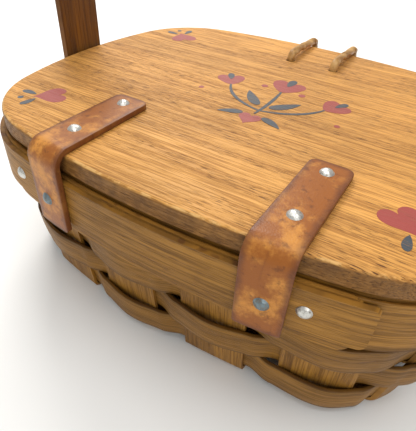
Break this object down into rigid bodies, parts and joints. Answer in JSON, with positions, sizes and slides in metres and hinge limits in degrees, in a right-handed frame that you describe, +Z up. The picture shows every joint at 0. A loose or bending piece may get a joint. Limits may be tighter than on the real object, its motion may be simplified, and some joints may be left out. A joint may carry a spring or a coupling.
{
  "type": "splint picnic basket",
  "caption": "Woven splint picnic basket with an oak lid on two riveted leather hinge straps, a swinging bentwood handle and a lace loop closure.",
  "frame": {"origin": "middle of the base, on the surface that the basket stands on", "axes": "+X along the length, +Y to the hinge side, +Z up"},
  "size_m": [0.364, 0.2928, 0.3865],
  "materials": {
    "stake_wood": "stained splint, satin",
    "weaver_wood": "stained splint, satin",
    "hoop_wood": "stained ash, satin",
    "handle_wood": "stained bentwood, satin",
    "lid_wood": "stained oak, satin varnish, painted ornament",
    "peg_wood": "turned, stained",
    "strap_leather": "thick harness leather, burnished edges",
    "washer_leather": "thick leather",
    "lace_leather": "rawhide lace",
    "rivet_steel": "worn nickel-plated steel"
  },
  "bodies": {
    "basket": {"cross_stake_1": "stake_wood", "cross_stake_2": "stake_wood", "cross_stake_3": "stake_wood", "cross_stake_4": "stake_wood", "long_stake_1": "stake_wood", "long_stake_2": "stake_wood", "long_stake_3": "stake_wood", "long_stake_4": "stake_wood", "long_stake_5": "stake_wood", "weaver_row_1": "weaver_wood", "weaver_row_2": "weaver_wood", "weaver_row_3": "weaver_wood", "top_row": "weaver_wood", "inner_hoop": "hoop_wood", "rim_hoop": "hoop_wood", "hinge_backing": "hoop_wood", "hinge_band": "hoop_wood", "right_strap": "strap_leather", "left_strap": "strap_leather", "strap_rivets": "rivet_steel", "band_rivets": "rivet_steel", "handle_washers": "washer_leather", "handle_rivets": "rivet_steel", "closure_peg": "peg_wood"},
    "lid": {"lid": "lid_wood", "lid_rivets": "rivet_steel", "lace_left": "lace_leather", "lace_right": "lace_leather"},
    "handle": {"handle": "handle_wood"},
    "loop": {"closure_loop": "lace_leather"}
  },
  "joints": [
    {"name": "lid_hinge", "type": "hinge", "parent": "basket", "child": "lid", "pos_m": [0, 0.1405, 0.115], "axis": [-1, 0, 0], "range_deg": [0, 105], "deforming": ["left_strap", "right_strap"]},
    {"name": "handle_swing", "type": "hinge", "parent": "basket", "child": "handle", "pos_m": [0, 0, 0.099], "axis": [1, 0, 0], "range_deg": [-95, 95]},
    {"name": "loop_swing", "type": "hinge", "parent": "lid", "child": "loop", "pos_m": [0, -0.147, 0.124], "axis": [-1, 0, 0], "range_deg": [0, 150]}
  ]
}
